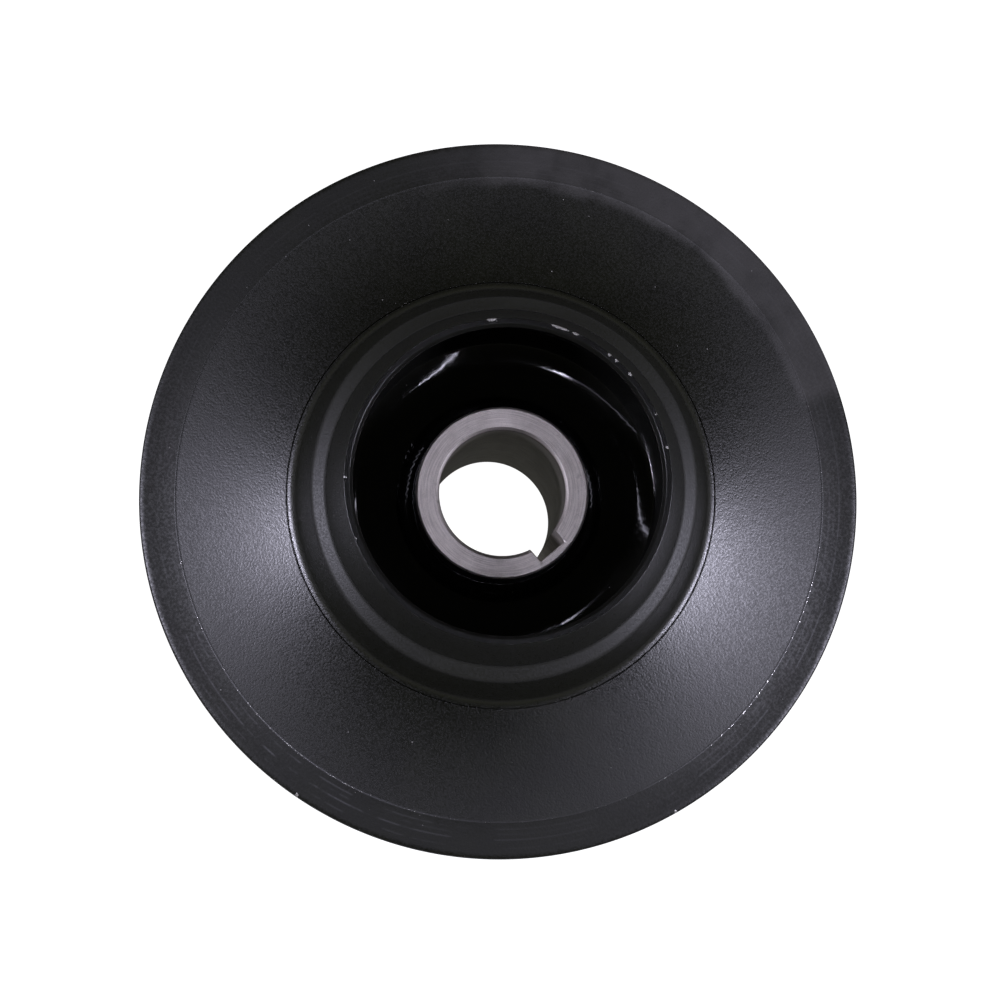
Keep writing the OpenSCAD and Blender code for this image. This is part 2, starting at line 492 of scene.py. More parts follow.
def make_press_ring_group():
    """Fine raised lines that the press tool left near the rim, whole or broken. Their Mask is
    the share of a lighter ring colour: partly wear, partly a painted highlight along the rings.
    """
    tree, g, given, out = new_group("press rings", {"Radius": 0.0, "Millimetres": None},
                                    {"Height": FLOAT, "Mask": FLOAT})
    broken = g.noise(given["Millimetres"], scale=0.11, detail=3.0, rough=0.6)
    fade = 0.05
    total = 0.0
    for radius, width, height, gaps in PRESS_RINGS:
        off = g.math("DIVIDE", g.math("SUBTRACT", given["Radius"], radius), width)
        line = g.math("EXPONENT", g.math("MULTIPLY", g.math("MULTIPLY", off, off), -1.0))
        here = g.spread(broken, gaps - fade, gaps + fade)
        total = g.math("ADD", total, g.math("MULTIPLY", g.math("MULTIPLY", line, here), height))
    g.feed(out.inputs["Height"], total)
    g.feed(out.inputs["Mask"], g.math("MULTIPLY", total, RING_WEAR_AND_GLINT_PER_UM, clamp=True))
    return tree


PLACE = make_place_group()
TOOL_LINES = make_tool_line_group()
PEBBLING = make_pebbling_group()
DUST = make_dust_group()
WEAR = make_wear_group()
PRESS_MARKS = make_press_ring_group()


# ---------------------------------------------------------------- materials

FILM_COLOUR = (0.026, 0.025, 0.024, 1)
# Lighter colour of the press rings: partly wear, partly a painted highlight standing in for
# light caught on the raised rings
RING_WEAR_AND_GLINT_COLOUR = (0.055, 0.055, 0.058, 1)
DUST_COLOUR = (0.16, 0.155, 0.15, 1)
CHIPPED_COLOUR = (0.52, 0.51, 0.49, 1)
# Roughness that the oily film, the dull value and the dust each add to a coat
FILM_DULLS = 0.12
VALUE_DULLS = 0.34
DUST_DULLS = 0.25
# Metal in a chip, and the coat's thickness and the dust's height in micrometres
CHIPPED_ROUGHNESS = 0.38
CHIPPED_METAL = 0.95
COAT_UM = 40.0
DUST_UM = 15.0
# Bump heights are given in micrometres
MICROMETRE = 1e-6


def new_material(name):
    material = bpy.data.materials.new(name)
    material.use_nodes = True
    material.node_tree.nodes.clear()
    graph = Graph(material.node_tree)
    shader = graph.node("ShaderNodeBsdfPrincipled")
    output = graph.node("ShaderNodeOutputMaterial")
    graph.feed(output.inputs["Surface"], shader.outputs[0])
    return material, graph, shader


def brushed_round(g, shader, amount):
    """Gloss that spreads further across the turning than along it."""
    quarter_turn = 0.25
    shader.inputs["Anisotropic"].default_value = amount
    shader.inputs["Anisotropic Rotation"].default_value = quarter_turn
    round_axis = g.node("ShaderNodeTangent", direction_type="RADIAL", axis="Z")
    g.feed(shader.inputs["Tangent"], round_axis.outputs[0])


def raised(g, shader, height_um):
    """Bumps of that height on the shader."""
    bump = g.node("ShaderNodeBump", {"Height": height_um, "Strength": 1.0,
                                     "Distance": MICROMETRE})
    g.feed(shader.inputs["Normal"], bump.outputs[0])


def coat(name, colour, roughness, grain_mm, grain_depth_um, edge_wear, dust_share, lines_um=0.0,
         lines_per_mm=2.0, spread_across=0.0, gloss_level=0.5):
    """Sprayed black coat over steel, with dust, tool lines under it, wear and an oily film, and
    press rings of a lighter colour that is partly wear and partly a painted highlight.
    """
    material, g, shader = new_material(name)
    place = g.group(PLACE)
    pebbles = g.group(PEBBLING, Millimetres=place["Millimetres"], Grain_mm=grain_mm)
    dust = g.group(DUST, Millimetres=place["Millimetres"], Share=dust_share)
    lines = g.group(TOOL_LINES, Round=place["Round"], Lines_per_mm=lines_per_mm)
    bare = g.group(WEAR, Millimetres=place["Millimetres"], Chip=g.attribute("chip"),
                   Edge=g.attribute("edge"), Edge_wear=edge_wear)["Bare"]
    rings = g.group(PRESS_MARKS, Radius=place["Radius"], Millimetres=place["Millimetres"])
    # The press rings' lighter colour, partly wear and partly a painted highlight
    ring_wear_and_glint = g.math("MULTIPLY", rings["Mask"], g.attribute("line"))
    cloudy = g.noise(place["Millimetres"], scale=0.09, detail=3.0, rough=0.6)
    film = g.math("MULTIPLY", g.attribute("film"), g.spread(cloudy, 0.3, 0.6, 0.5, 1.0))

    body = g.vector("SCALE", colour, g.spread(cloudy, 0.3, 0.7, 0.75, 1.3))
    body = g.mix(film, body, FILM_COLOUR)
    body = g.mix(ring_wear_and_glint, body, RING_WEAR_AND_GLINT_COLOUR)
    body = g.mix(dust["Mask"], body, DUST_COLOUR)
    body = g.mix(bare, body, CHIPPED_COLOUR)
    g.feed(shader.inputs["Base Color"], body)

    rough = g.spread(pebbles["Grain"], 0.3, 0.7, roughness * 0.8, roughness * 1.2)
    rough = g.math("ADD", rough, g.math("MULTIPLY", film, FILM_DULLS))
    rough = g.math("ADD", rough, g.math("MULTIPLY", g.attribute("dull"), VALUE_DULLS))
    rough = g.math("ADD", rough, g.math("MULTIPLY", dust["Mask"], DUST_DULLS), clamp=True)
    g.feed(shader.inputs["Roughness"], g.between(bare, rough, CHIPPED_ROUGHNESS))
    g.feed(shader.inputs["Metallic"], g.math("MULTIPLY", bare, CHIPPED_METAL))

    height = g.math("MULTIPLY", pebbles["Height"], grain_depth_um)
    height = g.math("ADD", height, g.math("MULTIPLY", lines["Height"], lines_um))
    height = g.math("SUBTRACT", height, g.math("MULTIPLY", bare, COAT_UM))
    height = g.math("ADD", height, rings["Height"])
    height = g.math("ADD", height, g.math("MULTIPLY", dust["Mask"], DUST_UM))
    raised(g, shader, height)
    shader.inputs["IOR"].default_value = 1.5
    shader.inputs["Specular IOR Level"].default_value = gloss_level
    if spread_across:
        brushed_round(g, shader, spread_across)
    return material


STEEL_DARK = (0.48, 0.44, 0.41, 1)
STEEL_LIGHT = (0.82, 0.765, 0.72, 1)
STAIN_COLOUR = (0.22, 0.2, 0.17, 1)
BORE_DARKER_COLOUR = (0.16, 0.15, 0.12, 1)
NICK_COLOUR = (0.09, 0.08, 0.07, 1)
BORE_DARKENING = 0.8
NICK_STAIN = 0.6
# Radii between which the end face's steel turns to the bore's darker steel
BORE_DARKENING_FROM = BORE_R + 0.25
BORE_DARKENING_TO = BORE_R + 0.05
# Heights of the fine and the coarse tool lines in micrometres
FINE_LINES_UM = 6.0
COARSE_LINES_UM = 8.0


def machined_steel():
    """Turned and lightly brushed steel, with stains and small marks, and darker inside the bore.
    """
    material, g, shader = new_material("machined steel")
    place = g.group(PLACE)
    lines = g.group(TOOL_LINES, Round=place["Round"], Lines_per_mm=5.0, Breaks=2.0)
    coarse = g.group(TOOL_LINES, Round=place["Round"], Lines_per_mm=1.6, Breaks=1.2)
    nicks = g.group(DUST, Millimetres=place["Millimetres"], Spacing_mm=3.0, Speck=0.3,
                    Share=0.16)
    stain = g.noise(place["Millimetres"], scale=0.35, detail=4.0, rough=0.6)
    fine = g.noise(place["Millimetres"], scale=4.0, detail=2.0, rough=0.6)
    across = g.math("ADD", g.math("MULTIPLY", lines["Height"], 0.5),
                    g.math("ADD", g.math("MULTIPLY", stain, 0.3),
                           g.math("MULTIPLY", fine, 0.2)))
    in_bore = g.spread(place["Radius"], BORE_DARKENING_FROM, BORE_DARKENING_TO)
    body = g.mix(g.spread(across, 0.35, 0.65), STEEL_DARK, STEEL_LIGHT)
    body = g.mix(g.spread(stain, 0.6, 0.75, 0.0, 0.5), body, STAIN_COLOUR)
    # Darker steel inside the bore
    body = g.mix(g.math("MULTIPLY", in_bore, BORE_DARKENING), body, BORE_DARKER_COLOUR)
    body = g.mix(g.math("MULTIPLY", nicks["Mask"], NICK_STAIN), body, NICK_COLOUR)
    g.feed(shader.inputs["Base Color"], body)
    g.feed(shader.inputs["Roughness"], g.spread(across, 0.35, 0.65, 0.5, 0.36))
    shader.inputs["Metallic"].default_value = 1.0
    raised(g, shader, g.math("ADD", g.math("MULTIPLY", lines["Height"], FINE_LINES_UM),
                             g.math("MULTIPLY", coarse["Height"], COARSE_LINES_UM)))
    return material


SATIN_BLACK = (0.0018, 0.0020, 0.0009)
SATIN = coat("satin black coat", SATIN_BLACK, roughness=0.34, grain_mm=0.42,
             grain_depth_um=38.0, edge_wear=0.15, dust_share=0.3, lines_um=3.0,
             spread_across=0.3)
DULL_BAND = coat("dull black band", SATIN_BLACK, roughness=0.35, grain_mm=0.55,
                 grain_depth_um=45.0, edge_wear=0.15, dust_share=0.4, lines_um=34.0,
                 lines_per_mm=1.6, spread_across=0.2, gloss_level=0.34)
# Its base colour is a little lighter than the satin coat's: a painted fill light that lifts the
# shaded inside of the cup
GLOSS = coat("gloss black coat", (0.0030, 0.0031, 0.0027), roughness=0.07, grain_mm=2.0,
             grain_depth_um=16.0, edge_wear=0.1, dust_share=0.15, lines_um=1.0,
             lines_per_mm=1.0)
WELD_COAT = coat("coated weld", (0.0026, 0.0029, 0.0022), roughness=0.34, grain_mm=0.4,
                 grain_depth_um=12.0, edge_wear=0.15, dust_share=0.2)
STEEL = machined_steel()


# ---------------------------------------------------------------- pieces

def near_angle(angle, middle):
    """Degrees from one angle to another, the short way."""
    return abs((angle - middle + 180) % 360 - 180)


# Where coat has worn off the lip, the pressed line and the rim: degrees round the axis, and
# half the length in degrees
LIP_CHIPS = ((144.9, 2.6), (120.8, 4.6), (114.6, 1.5), (100.6, 1.1), (97.4, 0.8),
             (90.6, 1.2), (73.9, 0.5), (61.3, 0.6), (250.2, 0.5), (228.3, 0.4))
PRESS_LINE_WEAR = ((22, 30), (275, 32))
RIM_CHIPS = ((319.7, 0.3), (348.9, 0.4), (285.0, 0.25), (301.0, 0.2))


def chip_value(angle, chips):
    return max(math.exp(-(near_angle(angle, middle) / half) ** 2) for middle, half in chips)


# Steps along the cup's section, and how much its hole, its lip and the lip's chamfer are rounded
CUP_SPACING = 2.8
HOLE_ROUNDING = 0.15
LIP_ROUNDING = 0.12
CHAMFER_ROUNDING = 0.3
# The gloss reaches this far round the edges from the cup's outer face and its floor
GLOSS_IN = 0.15
GLOSS_UNDER = 0.3
# A lip chip: how far inside the lip its middle is, its reach, its fill and its depth
CHIP_IN = 0.25
CHIP_REACH = 0.55
CHIP_FILL = 1.05
CHIP_DEPTH = 0.09
# The gloss starts to dull this far below the lip, over this length, to this much
LIP_DULL_DOWN = 11
LIP_DULL_LEN = 10
LIP_DULL = 0.55


def make_cup():
    hole = HUB_R + HUB_GAP
    inner_lip = wall_r(LIP_Z, CUP_T)
    chamfer = LIP_R - LIP_LAND - inner_lip
    section = rounded([
        (hole, FLOOR_Z - CUP_T, HOLE_ROUNDING),
        (wall_r(FLOOR_Z - CUP_T), FLOOR_Z - CUP_T, BEND_R + CUP_T),
        (LIP_R, LIP_Z, LIP_ROUNDING),
        (LIP_R - LIP_LAND, LIP_Z, LIP_ROUNDING),
        (wall_r(LIP_Z - chamfer, CUP_T), LIP_Z - chamfer, CHAMFER_ROUNDING),
        (wall_r(FLOOR_Z, CUP_T), FLOOR_Z, BEND_R),
        (hole, FLOOR_Z, HOLE_ROUNDING),
    ], CUP_SPACING)

    def inside(r, z):
        return int(z > FLOOR_Z - GLOSS_UNDER and r < wall_r(z, GLOSS_IN))

    def chip(r, z, angle):
        off = math.hypot(r - LIP_R + CHIP_IN, z - LIP_Z) / CHIP_REACH
        return chip_value(angle, LIP_CHIPS) * max(0.0, CHIP_FILL - off * off)

    def dull(r, z, angle):
        rise = held((z - LIP_Z + LIP_DULL_DOWN) / LIP_DULL_LEN) if inside(r, z) else 0.0
        return LIP_DULL * rise * rise

    def dent(r, z, angle):
        bite = CHIP_DEPTH * chip(r, z, angle)
        return -bite, -bite

    cup = turned("drawn_hub_cup", section, [SATIN, GLOSS], dent=dent,
                 masks={"chip": chip, "dull": dull}, material_of=inside)
    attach(cup, "root")
    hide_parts("hub_cup")


# Roundings of the two edges of the hairline seam, in front and at the back
SEAM_ROUNDING = 0.06
SEAM_BACK_ROUNDING = 0.12
# Steps along the collar's section, its gap to the cup, and its shoulder's corner
COLLAR_SPACING = 0.8
COLLAR_CLEAR = 0.015
SHOULDER_ROUNDING = 1.3
# The coat ends in a thin feather up the cup's wall: how far it rises above the metal, where
# and how roundly it leaves the shoulder, and its tip's width and roundings
FEATHER_RISE = 0.55
FEATHER_START = 0.1
FEATHER_ROUNDING = 0.9
TIP_W = 0.05
TIP_ROUNDING = 0.02
TIP_BACK_ROUNDING = 0.015
# How dull the shoulder is, down to this far below it
SHOULDER_DULL = 0.6
SHOULDER_DULL_DOWN = 1


def make_collar():
    top = Vector((wall_r(SHOULDER_Z, -SHEET_T), SHOULDER_Z))
    run = (top[0] - wall_r(SHOULDER_Z) - COLLAR_CLEAR) / (
        cos(SHOULDER_SLOPE) - sin(SHOULDER_SLOPE) * tan(DRAFT))
    along = run - FEATHER_START
    coat_top = top[1] + run * sin(SHOULDER_SLOPE) + FEATHER_RISE
    back_r = wall_r(coat_top) + COLLAR_CLEAR
    end = SEAM_R - SEAM_GAP
    foot = foot_corner(0)
    back = foot_corner(SHEET_T)
    section = rounded([
        (end, cone_z(end), SEAM_ROUNDING),
        (foot[0], foot[1], FOOT_FILLET),
        (top[0], top[1], SHOULDER_ROUNDING),
        (top[0] - along * cos(SHOULDER_SLOPE), top[1] + along * sin(SHOULDER_SLOPE),
         FEATHER_ROUNDING),
        (back_r + TIP_W, coat_top, TIP_ROUNDING),
        (back_r, coat_top, TIP_BACK_ROUNDING),
        (back[0] + COLLAR_CLEAR, back[1], FOOT_FILLET + SHEET_T),
        (end, cone_z(end, SHEET_T), SEAM_BACK_ROUNDING),
    ], COLLAR_SPACING)

    def dull(r, z, angle):
        return SHOULDER_DULL if z > SHOULDER_Z - SHOULDER_DULL_DOWN else 0.0

    collar = turned("neck_collar_shell", section, [SATIN], masks={"dull": dull})
    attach(collar, "root")
    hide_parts("neck_collar")


# Steps along the disc's section, and the roundings of its rim and of the ridge's back
DISC_SPACING = 0.9
RIM_ROUNDING = 0.5
RIM_BACK_ROUNDING = 0.2
RIDGE_BACK_ROUNDING = 1.0
# The raised line's inner foot, crest and outer foot: (distance out from the ridge, rounding)
LINE_IN = (-0.45, 0.3)
LINE_CREST = (-0.13, 0.1)
LINE_OUT = (0.17, 0.1)
# Depth below the front face that still counts as the front
FRONT_SKIN = 0.9
# Chips on the raised line: how far inside the ridge their middle is, their half width, and how
# worn the line is all round, in its worn stretches and by chance
LINE_CHIP_IN = 0.05
LINE_CHIP_HALF = 0.24
LINE_WORN = 0.34
LINE_WORN_MORE = 0.24
LINE_WORN_CHANCE = 0.12
# Chips on the rim lie outside this radius
RIM_CHIPS_FROM = 72.55
# The oily film near the rim: first and last angle, each with the degrees of its fade, then its
# inner radius, fade and wander in millimetres
FILM_FIRST = (66, 2.5)
FILM_LAST = (156, 22)
FILM_IN = 63.4
FILM_FADE = 1.6
FILM_WANDER = 1.6
# How dull the back, the cone's outer part and the band are
BACK_DULL = 0.5
CONE_DULL = 0.5
CONE_DULL_FROM = 44
CONE_DULL_OVER = 20
BAND_DULL = 0.75
BAND_DULL_MOST = 1.1
BAND_DULL_AT = 66
BAND_DULL_OVER = 12
# The rim's last edge is polished by handling, from this radius over this width
POLISH_FROM = 71.8
POLISH_OVER = 0.6
POLISH = 0.8
# How far the press rings show their lighter colour, partly wear and partly a painted highlight:
# on the back, all round the front, and where worn
RINGS_BACK = 0.1
RINGS_FRONT = 0.12
RINGS_WORN = 0.88


def make_disc():
    ridge = ridge_r(SHEET_T)
    line_in, line_crest, line_out = (BAND_R + out for out, _ in (LINE_IN, LINE_CREST, LINE_OUT))
    section = rounded([
        (SEAM_R, cone_z(SEAM_R), SEAM_ROUNDING),
        (line_in, cone_z(line_in), LINE_IN[1]),
        (line_crest, cone_z(line_crest) + PRESS_LINE, LINE_CREST[1]),
        (line_out, band_z(line_out), LINE_OUT[1]),
        (DISC_R, RIM_Z, RIM_ROUNDING),
        (DISC_R, band_z(DISC_R, SHEET_T), RIM_BACK_ROUNDING),
        (ridge, cone_z(ridge, SHEET_T), RIDGE_BACK_ROUNDING),
        (SEAM_R, cone_z(SEAM_R, SHEET_T), SEAM_BACK_ROUNDING),
    ], DISC_SPACING)

    def front(r, z):
        return z > min(cone_z(r), band_z(r)) - FRONT_SKIN

    def on_band(r, z):
        return int(r > BAND_R and front(r, z))

    def chip(r, z, angle):
        if not front(r, z):
            return 0.0
        off = (r - BAND_R + LINE_CHIP_IN) / LINE_CHIP_HALF
        worn = LINE_WORN + LINE_WORN_MORE * chip_value(angle, PRESS_LINE_WEAR)
        worn += LINE_WORN_CHANCE * noise.noise(Vector((angle / 4, 1.5, 0.2)))
        on_line = worn * max(0.0, 1 - off * off)
        return max(on_line, chip_value(angle, RIM_CHIPS) if r > RIM_CHIPS_FROM else 0.0)

    def film(r, z, angle):
        if not front(r, z):
            return 0.0
        begin = (angle - FILM_FIRST[0]) / FILM_FIRST[1]
        end = (FILM_LAST[0] - angle) / FILM_LAST[1]
        along = held(min(begin, end))
        wander = noise.noise(Vector((angle / 9, 0.5, 3.1)))
        wander += 0.5 * noise.noise(Vector((angle / 3, r / 4, 7.7)))
        across = held((r - FILM_IN - FILM_WANDER * wander) / FILM_FADE)
        return along * across * (0.8 + 0.25 * wander)

    def dull(r, z, angle):
        if not front(r, z):
            return BACK_DULL
        cone = CONE_DULL * held((r - CONE_DULL_FROM) / CONE_DULL_OVER)
        band = held(BAND_DULL + (r - BAND_DULL_AT) / BAND_DULL_OVER, BAND_DULL_MOST)
        polish = POLISH * held((r - POLISH_FROM) / POLISH_OVER)
        return max(cone, band if r > BAND_R else 0.0) * (1 - polish)

    # Share of the press rings' lighter colour: partly wear, partly a painted highlight
    def line(r, z, angle):
        if not front(r, z):
            return RINGS_BACK
        return RINGS_FRONT + RINGS_WORN * chip_value(angle, PRESS_LINE_WEAR)

    def bow(r, z, angle):
        along = (r - SEAM_R) / (BAND_R - SEAM_R)
        return 0.0, -DISC_BOW * 4 * along * (1 - along) if along < 1 else 0.0

    disc = turned("pressed_flange_disc", section, [SATIN, DULL_BAND],
                  masks={"chip": chip, "film": film, "dull": dull, "line": line}, dent=bow,
                  material_of=on_band)
    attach(disc, "root")
    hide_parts("flange_disc")


# Steps round the bore, along the keyway's sides and corners, and along its floor
BORE_STEPS = 320
SIDE_STEPS = 4
KEYWAY_FLOOR_STEPS = 8
KEYWAY_CORNER = 0.25


def keyed_outline(radius, slot_out):
    """The bore's outline with its keyway, as (x, y) points, from one side of the slot round
    to the other and back along the slot's floor."""
    half = KEYWAY_W / 2 + slot_out
    floor = KEYWAY_FLOOR + slot_out
    start = math.degrees(math.asin(half / radius))
    points = []
    for k in range(BORE_STEPS + 1):
        angle = start + (360 - 2 * start) * k / BORE_STEPS
        points.append((radius * cos(angle), radius * sin(angle)))
    mouth = points[-1][0]
    inner = floor - KEYWAY_CORNER
    side = half - KEYWAY_CORNER
    for k in range(1, SIDE_STEPS + 1):
        points.append((mouth + (inner - mouth) * k / SIDE_STEPS, -half))
    for k in range(1, SIDE_STEPS + 1):
        a = 90 * k / SIDE_STEPS
        points.append((inner + KEYWAY_CORNER * sin(a), -side - KEYWAY_CORNER * cos(a)))
    for k in range(1, KEYWAY_FLOOR_STEPS):
        points.append((floor, -side + 2 * side * k / KEYWAY_FLOOR_STEPS))
    for k in range(SIDE_STEPS):
        a = 90 * k / SIDE_STEPS
        points.append((inner + KEYWAY_CORNER * cos(a), side + KEYWAY_CORNER * sin(a)))
    for k in range(SIDE_STEPS):
        points.append((inner + (mouth - inner) * k / SIDE_STEPS, half))
    return points


def zip_rings(work, inner, outer):
    """Triangles between two rings of vertices that each run once round the axis."""
    def turn(vert):
        return math.atan2(vert.co.y, vert.co.x) % math.tau

    inner, outer = sorted(inner, key=turn), sorted(outer, key=turn)
    inner_turns = [turn(vert) for vert in inner] + [turn(inner[0]) + math.tau]
    outer_turns = [turn(vert) for vert in outer] + [turn(outer[0]) + math.tau]
    inner.append(inner[0])
    outer.append(outer[0])
    i = j = 0
    while i < len(inner) - 1 or j < len(outer) - 1:
        inner_next = j == len(outer) - 1 or (
            i < len(inner) - 1 and inner_turns[i + 1] <= outer_turns[j + 1])
        if inner_next:
            work.faces.new((inner[i], inner[i + 1], outer[j]))
            i += 1
        else:
            work.faces.new((inner[i], outer[j + 1], outer[j]))
            j += 1


# Steps along the hub's walls, and the short steps at the ends of its chamfers
HUB_SPANS = 40
CHAMFER_GUARD = 0.1
# The bore's ends: distance in from the end face, growth of the bore, growth of the keyway
BORE_ENDS = ((0.0, BORE_CHAMFER, 0.15), (0.15, BORE_CHAMFER - 0.15, 0.0),
             (BORE_CHAMFER - 0.06, 0.05, 0.0), (BORE_CHAMFER, 0.02, 0.0),
             (BORE_CHAMFER + 0.08, 0.0, 0.0))
# Edges that turn more than this many degrees are shaded sharp
SHARP_FROM = 38


def make_hub():
    work = bmesh.new()
    straight_from = BORE_ENDS[-1][0]
    bore = list(BORE_ENDS)
    bore += [(straight_from + (HUB_LEN - 2 * straight_from) * k / HUB_SPANS, 0, 0)
             for k in range(1, HUB_SPANS)]
    bore += [(HUB_LEN - z, out, slot_out) for z, out, slot_out in reversed(BORE_ENDS)]
    inner = [[work.verts.new((x * MM, y * MM, z * MM))
              for x, y in keyed_outline(BORE_R + out, slot_out)] for z, out, slot_out in bore]
    for one, two in zip(inner, inner[1:]):
        for k in range(len(one)):
            m = (k + 1) % len(one)
            work.faces.new((one[k], two[k], two[m], one[m]))
    wall_from = HUB_CHAMFER + CHAMFER_GUARD
    end = [(HUB_R - HUB_CHAMFER - CHAMFER_GUARD, 0), (HUB_R - HUB_CHAMFER, 0),
           (HUB_R - HUB_CHAMFER + 0.05, 0.03), (HUB_R - 0.03, HUB_CHAMFER - 0.05),
           (HUB_R, HUB_CHAMFER), (HUB_R, wall_from)]
    wall = [(HUB_R, wall_from + (HUB_LEN - 2 * wall_from) * k / HUB_SPANS)
            for k in range(1, HUB_SPANS)]
    profile = end + wall + [(r, HUB_LEN - z) for r, z in reversed(end)]
    outer = [[work.verts.new((r * cos(360 * k / TURNS) * MM, r * sin(360 * k / TURNS) * MM,
                              z * MM)) for k in range(TURNS)] for r, z in profile]
    for one, two in zip(outer, outer[1:]):
        for k in range(TURNS):
            m = (k + 1) % TURNS
            face = work.faces.new((one[k], one[m], two[m], two[k]))
            z = (one[k].co.z + two[k].co.z) / 2 / MM
            face.material_index = int(HUB_CHAMFER < z < HUB_LEN - HUB_CHAMFER)
    zip_rings(work, inner[0], outer[0])
    zip_rings(work, inner[-1], outer[-1])
    hub = finish_mesh("keyed_hub_tube", work, [STEEL, SATIN])
    hub.data.set_sharp_from_angle(angle=math.radians(SHARP_FROM))
    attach(hub, "root")
    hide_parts("hub_tube")


# Weld beads: steps round the axis and across, and how far they sink into what they join
BEAD_TURNS = 1080
BEAD_STEPS = 16
BEAD_SINK = 0.06
# A fillet bead's hollow between puddles, and a puddle's height
FILLET_HOLLOW = 0.16
FILLET_PUDDLE = 0.2
# Ripples: degrees from puddle to puddle, and the seed of their wander
FRONT_RIPPLES = (4.0, 1.0)
REAR_RIPPLES = (4.5, 5.0)
SEAM_RIPPLES = (2.2, 9.0)
# The seam bead's height between puddles and a puddle's own, as shares of the full height
SEAM_LOW = 0.86
SEAM_PUDDLE = 0.14
# The seam bead's root: its half width as a share of the bead's, and its depth in the sheet
SEAM_ROOT_W = 0.9
SEAM_ROOT_DEPTH = 0.12


def fillet_section(corner, leg, up, angle, pitch, seed):
    """A fillet weld's section with its rippled face, in a corner of hub and floor."""
    sink = leg * WELD_CROWN
    radius = math.hypot(leg + sink, sink)
    first = math.asin(sink / radius)
    points = [(corner[0] - BEAD_SINK, corner[1] - up * BEAD_SINK)]
    for k in range(BEAD_STEPS + 1):
        across = 2 * k / BEAD_STEPS - 1
        a = first + (math.pi / 2 - 2 * first) * k / BEAD_STEPS
        lift = FILLET_PUDDLE * ripple(angle, across, pitch, seed) - FILLET_HOLLOW
        lift *= 1 - across ** 4
        r = -sink + (radius + lift) * math.cos(a)
        z = -sink + (radius + lift) * math.sin(a)
        points.append((corner[0] + max(r, -BEAD_SINK), corner[1] + up * max(z, -BEAD_SINK)))
    return points


def seam_section(base, angle):
    """The seam bead's section, its rippled face behind the sheets and its root in them."""
    normal = Vector((sin(CONE_SLOPE), cos(CONE_SLOPE)))
    points = []
    for k in range(BEAD_STEPS + 1):
        across = 2 * k / BEAD_STEPS - 1
        height = SEAM_WELD_H * (1 - across * across)
        height *= SEAM_LOW + SEAM_PUDDLE * ripple(angle, across, *SEAM_RIPPLES)
        points.append(tuple(base + DOWN_CONE * across * SEAM_WELD_W
                            - normal * (height - BEAD_SINK)))
    root_half = DOWN_CONE * SEAM_WELD_W * SEAM_ROOT_W
    points.append(tuple(base + root_half + normal * SEAM_ROOT_DEPTH))
    points.append(tuple(base - root_half + normal * SEAM_ROOT_DEPTH))
    return points


def make_welds():
    angles = [360 * k / BEAD_TURNS for k in range(BEAD_TURNS)]
    front = swept_bead("front_hub_weld_bead", [
        (a, fillet_section((HUB_R, FLOOR_Z), FRONT_LEG, 1, a, *FRONT_RIPPLES))
        for a in angles], [GLOSS], True)
    rear = swept_bead("rear_hub_weld_bead", [
        (a, fillet_section((HUB_R, FLOOR_Z - CUP_T), REAR_LEG, -1, a, *REAR_RIPPLES))
        for a in angles], [WELD_COAT], True)
    mid = SEAM_R - SEAM_GAP / 2
    base = Vector((mid, cone_z(mid, SHEET_T)))
    seam = swept_bead("disc_seam_weld_bead", [(a, seam_section(base, a)) for a in angles],
                      [WELD_COAT], True)
    for piece, node in ((front, "front_hub_weld"), (rear, "rear_hub_weld"),
                        (seam, "disc_seam_weld")):
        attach(piece, "root")
        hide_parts(node)


# Stitch beads fill the fold behind the collar: directions probed round their root, the probe's
# first reach and step, the sink into the sheets, and the slack below the full radius
STITCH_DIRECTIONS = 40
PROBE_FROM = 0.05
PROBE_STEP = 0.02
STITCH_SINK = 0.05
PROBE_SLACK = 0.03
# Steps along a stitch, how bluntly it ends, the size left at its tips, and its ripples: height
# between puddles, a puddle's own, degrees from one to the next, and the first seed
STITCH_STEPS = 112
STITCH_BLUNT = 6
STITCH_TIP = 0.08
STITCH_LOW = 0.88
STITCH_PUDDLE = 0.1
STITCH_PITCH = 1.9
STITCH_SEED = 20


def stitch_reaches(root):
    """How far a stitch reaches from its root in each direction, and whether it stops in the
    open there, as (direction, reach, free)."""
    reaches = []
    for k in range(STITCH_DIRECTIONS):
        turn = 360 * k / STITCH_DIRECTIONS
        away = Vector((cos(turn), sin(turn)))
        reach = PROBE_FROM
        while reach < STITCH_R and in_fold(*(root + away * (reach + PROBE_STEP)), STITCH_SINK):
            reach += PROBE_STEP
        reaches.append((away, reach, reach >= STITCH_R - PROBE_SLACK))
    return reaches


def make_stitches():
    corner = foot_corner(SHEET_T)
    root = Vector((BEND_CENTRE[0] + BEND_R + CUP_T + STITCH_R / 3, corner[1] + STITCH_R / 3))
    reaches = stitch_reaches(root)
    for i in range(STITCH_COUNT):
        middle = 360 / STITCH_COUNT * (i + 0.5)
        sections = []
        for j in range(STITCH_STEPS + 1):
            along = 2 * j / STITCH_STEPS - 1
            angle = middle + STITCH_SPAN / 2 * along
            body = math.sqrt(max(0.0, 1 - abs(along) ** STITCH_BLUNT))
            full = body * (1 - STITCH_TIP) + STITCH_TIP
            points = []
            for away, reach, free in reaches:
                size = reach * full
                if free:
                    size *= STITCH_LOW + STITCH_PUDDLE * ripple(angle, 0.0, STITCH_PITCH,
                                                                STITCH_SEED + i)
                points.append(tuple(root + away * size))
            sections.append((angle, points))
        bead = swept_bead(f"collar_stitch_bead_{i + 1}", sections, [WELD_COAT], False)
        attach(bead, "root")
    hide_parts("collar_stitch_welds")


make_cup()
make_collar()
make_disc()
make_hub()
make_welds()
make_stitches()


# ---------------------------------------------------------------- floor, light and camera

